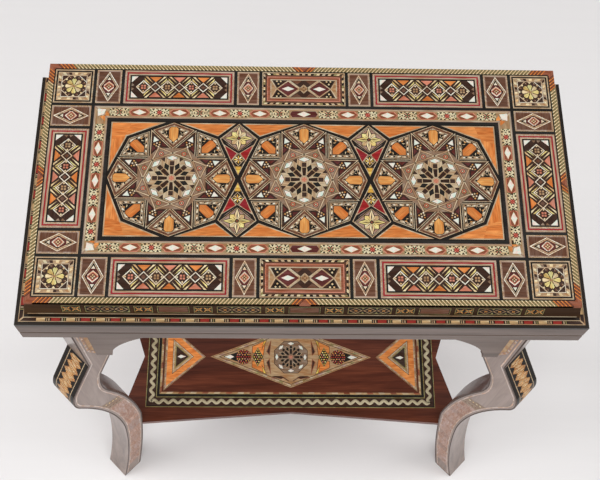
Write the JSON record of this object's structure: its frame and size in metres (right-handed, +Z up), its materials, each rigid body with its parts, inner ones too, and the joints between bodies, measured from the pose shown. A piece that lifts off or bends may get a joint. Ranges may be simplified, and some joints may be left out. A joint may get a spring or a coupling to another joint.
{
  "type": "inlaid lidded box table",
  "caption": "Oblong marquetry box with a hinged, raised lid, standing on S-shaped diagonal legs with a notched lower shelf.",
  "frame": {"origin": "centre of the four feet on the floor", "axes": "+X to the right along the box, -Y towards the front, +Z up"},
  "size_m": [0.562, 0.282, 0.74],
  "materials": {
    "walnut": "gloss varnish",
    "plain_wood": "bare",
    "mahogany": "gloss varnish",
    "ebonised_strap": "gloss varnish",
    "centre_marquetry": "gloss varnish",
    "mosaic_inlay": "gloss varnish",
    "rope_edging": "gloss varnish",
    "segment_band": "gloss varnish",
    "shelf_inlay": "gloss varnish",
    "brass": "satin",
    "steel": "plain"
  },
  "bodies": {
    "stand": {"apron_back": "walnut", "apron_front": "walnut", "apron_left": "walnut", "apron_right": "walnut", "box_bottom": "plain_wood", "box_rail_back": "walnut", "box_rail_front": "walnut", "box_rail_left": "walnut", "box_rail_right": "walnut", "hinge_box_leaf_left": "brass", "hinge_box_leaf_right": "brass", "hinge_box_screws": "brass", "hinge_pin_left": "brass", "hinge_pin_right": "brass", "knee_inlay_back_left": "mosaic_inlay", "knee_inlay_back_right": "mosaic_inlay", "knee_inlay_front_left": "mosaic_inlay", "knee_inlay_front_right": "mosaic_inlay", "ledge_back": "walnut", "ledge_band_front": "segment_band", "ledge_band_left": "segment_band", "ledge_band_right": "segment_band", "ledge_front": "walnut", "ledge_left": "walnut", "ledge_right": "walnut", "leg_back_left": "walnut", "leg_back_right": "walnut", "leg_front_left": "walnut", "leg_front_right": "walnut", "leg_screws": "steel", "shelf_board": "mahogany", "shelf_diamond": "shelf_inlay", "shelf_dowels": "plain_wood", "shelf_triangle_left": "shelf_inlay", "shelf_triangle_right": "shelf_inlay", "shelf_wave_border": "shelf_inlay"},
    "lid": {"centre_field": "centre_marquetry", "corner_tiles": "mosaic_inlay", "dark_straps": "ebonised_strap", "field_frame": "ebonised_strap", "hinge_lid_leaf_left": "brass", "hinge_lid_leaf_right": "brass", "hinge_lid_screws": "brass", "inlay_band_back": "mosaic_inlay", "inlay_band_front": "mosaic_inlay", "inlay_band_left": "mosaic_inlay", "inlay_band_right": "mosaic_inlay", "lid_back_side": "walnut", "lid_core_board": "plain_wood", "lid_front_side": "walnut", "lid_left_side": "walnut", "lid_right_side": "walnut", "long_panels": "mosaic_inlay", "lozenge_tiles": "mosaic_inlay", "middle_panels": "mosaic_inlay", "rope_edging_back": "rope_edging", "rope_edging_front": "rope_edging", "rope_edging_left": "rope_edging", "rope_edging_right": "rope_edging", "side_panels": "mosaic_inlay"}
  },
  "joints": [
    {"name": "lid_hinge", "type": "hinge", "parent": "stand", "child": "lid", "pos_m": [0, 0.13425, 0.715], "axis": [-1, 0, 0], "range_deg": [0, 100]}
  ]
}
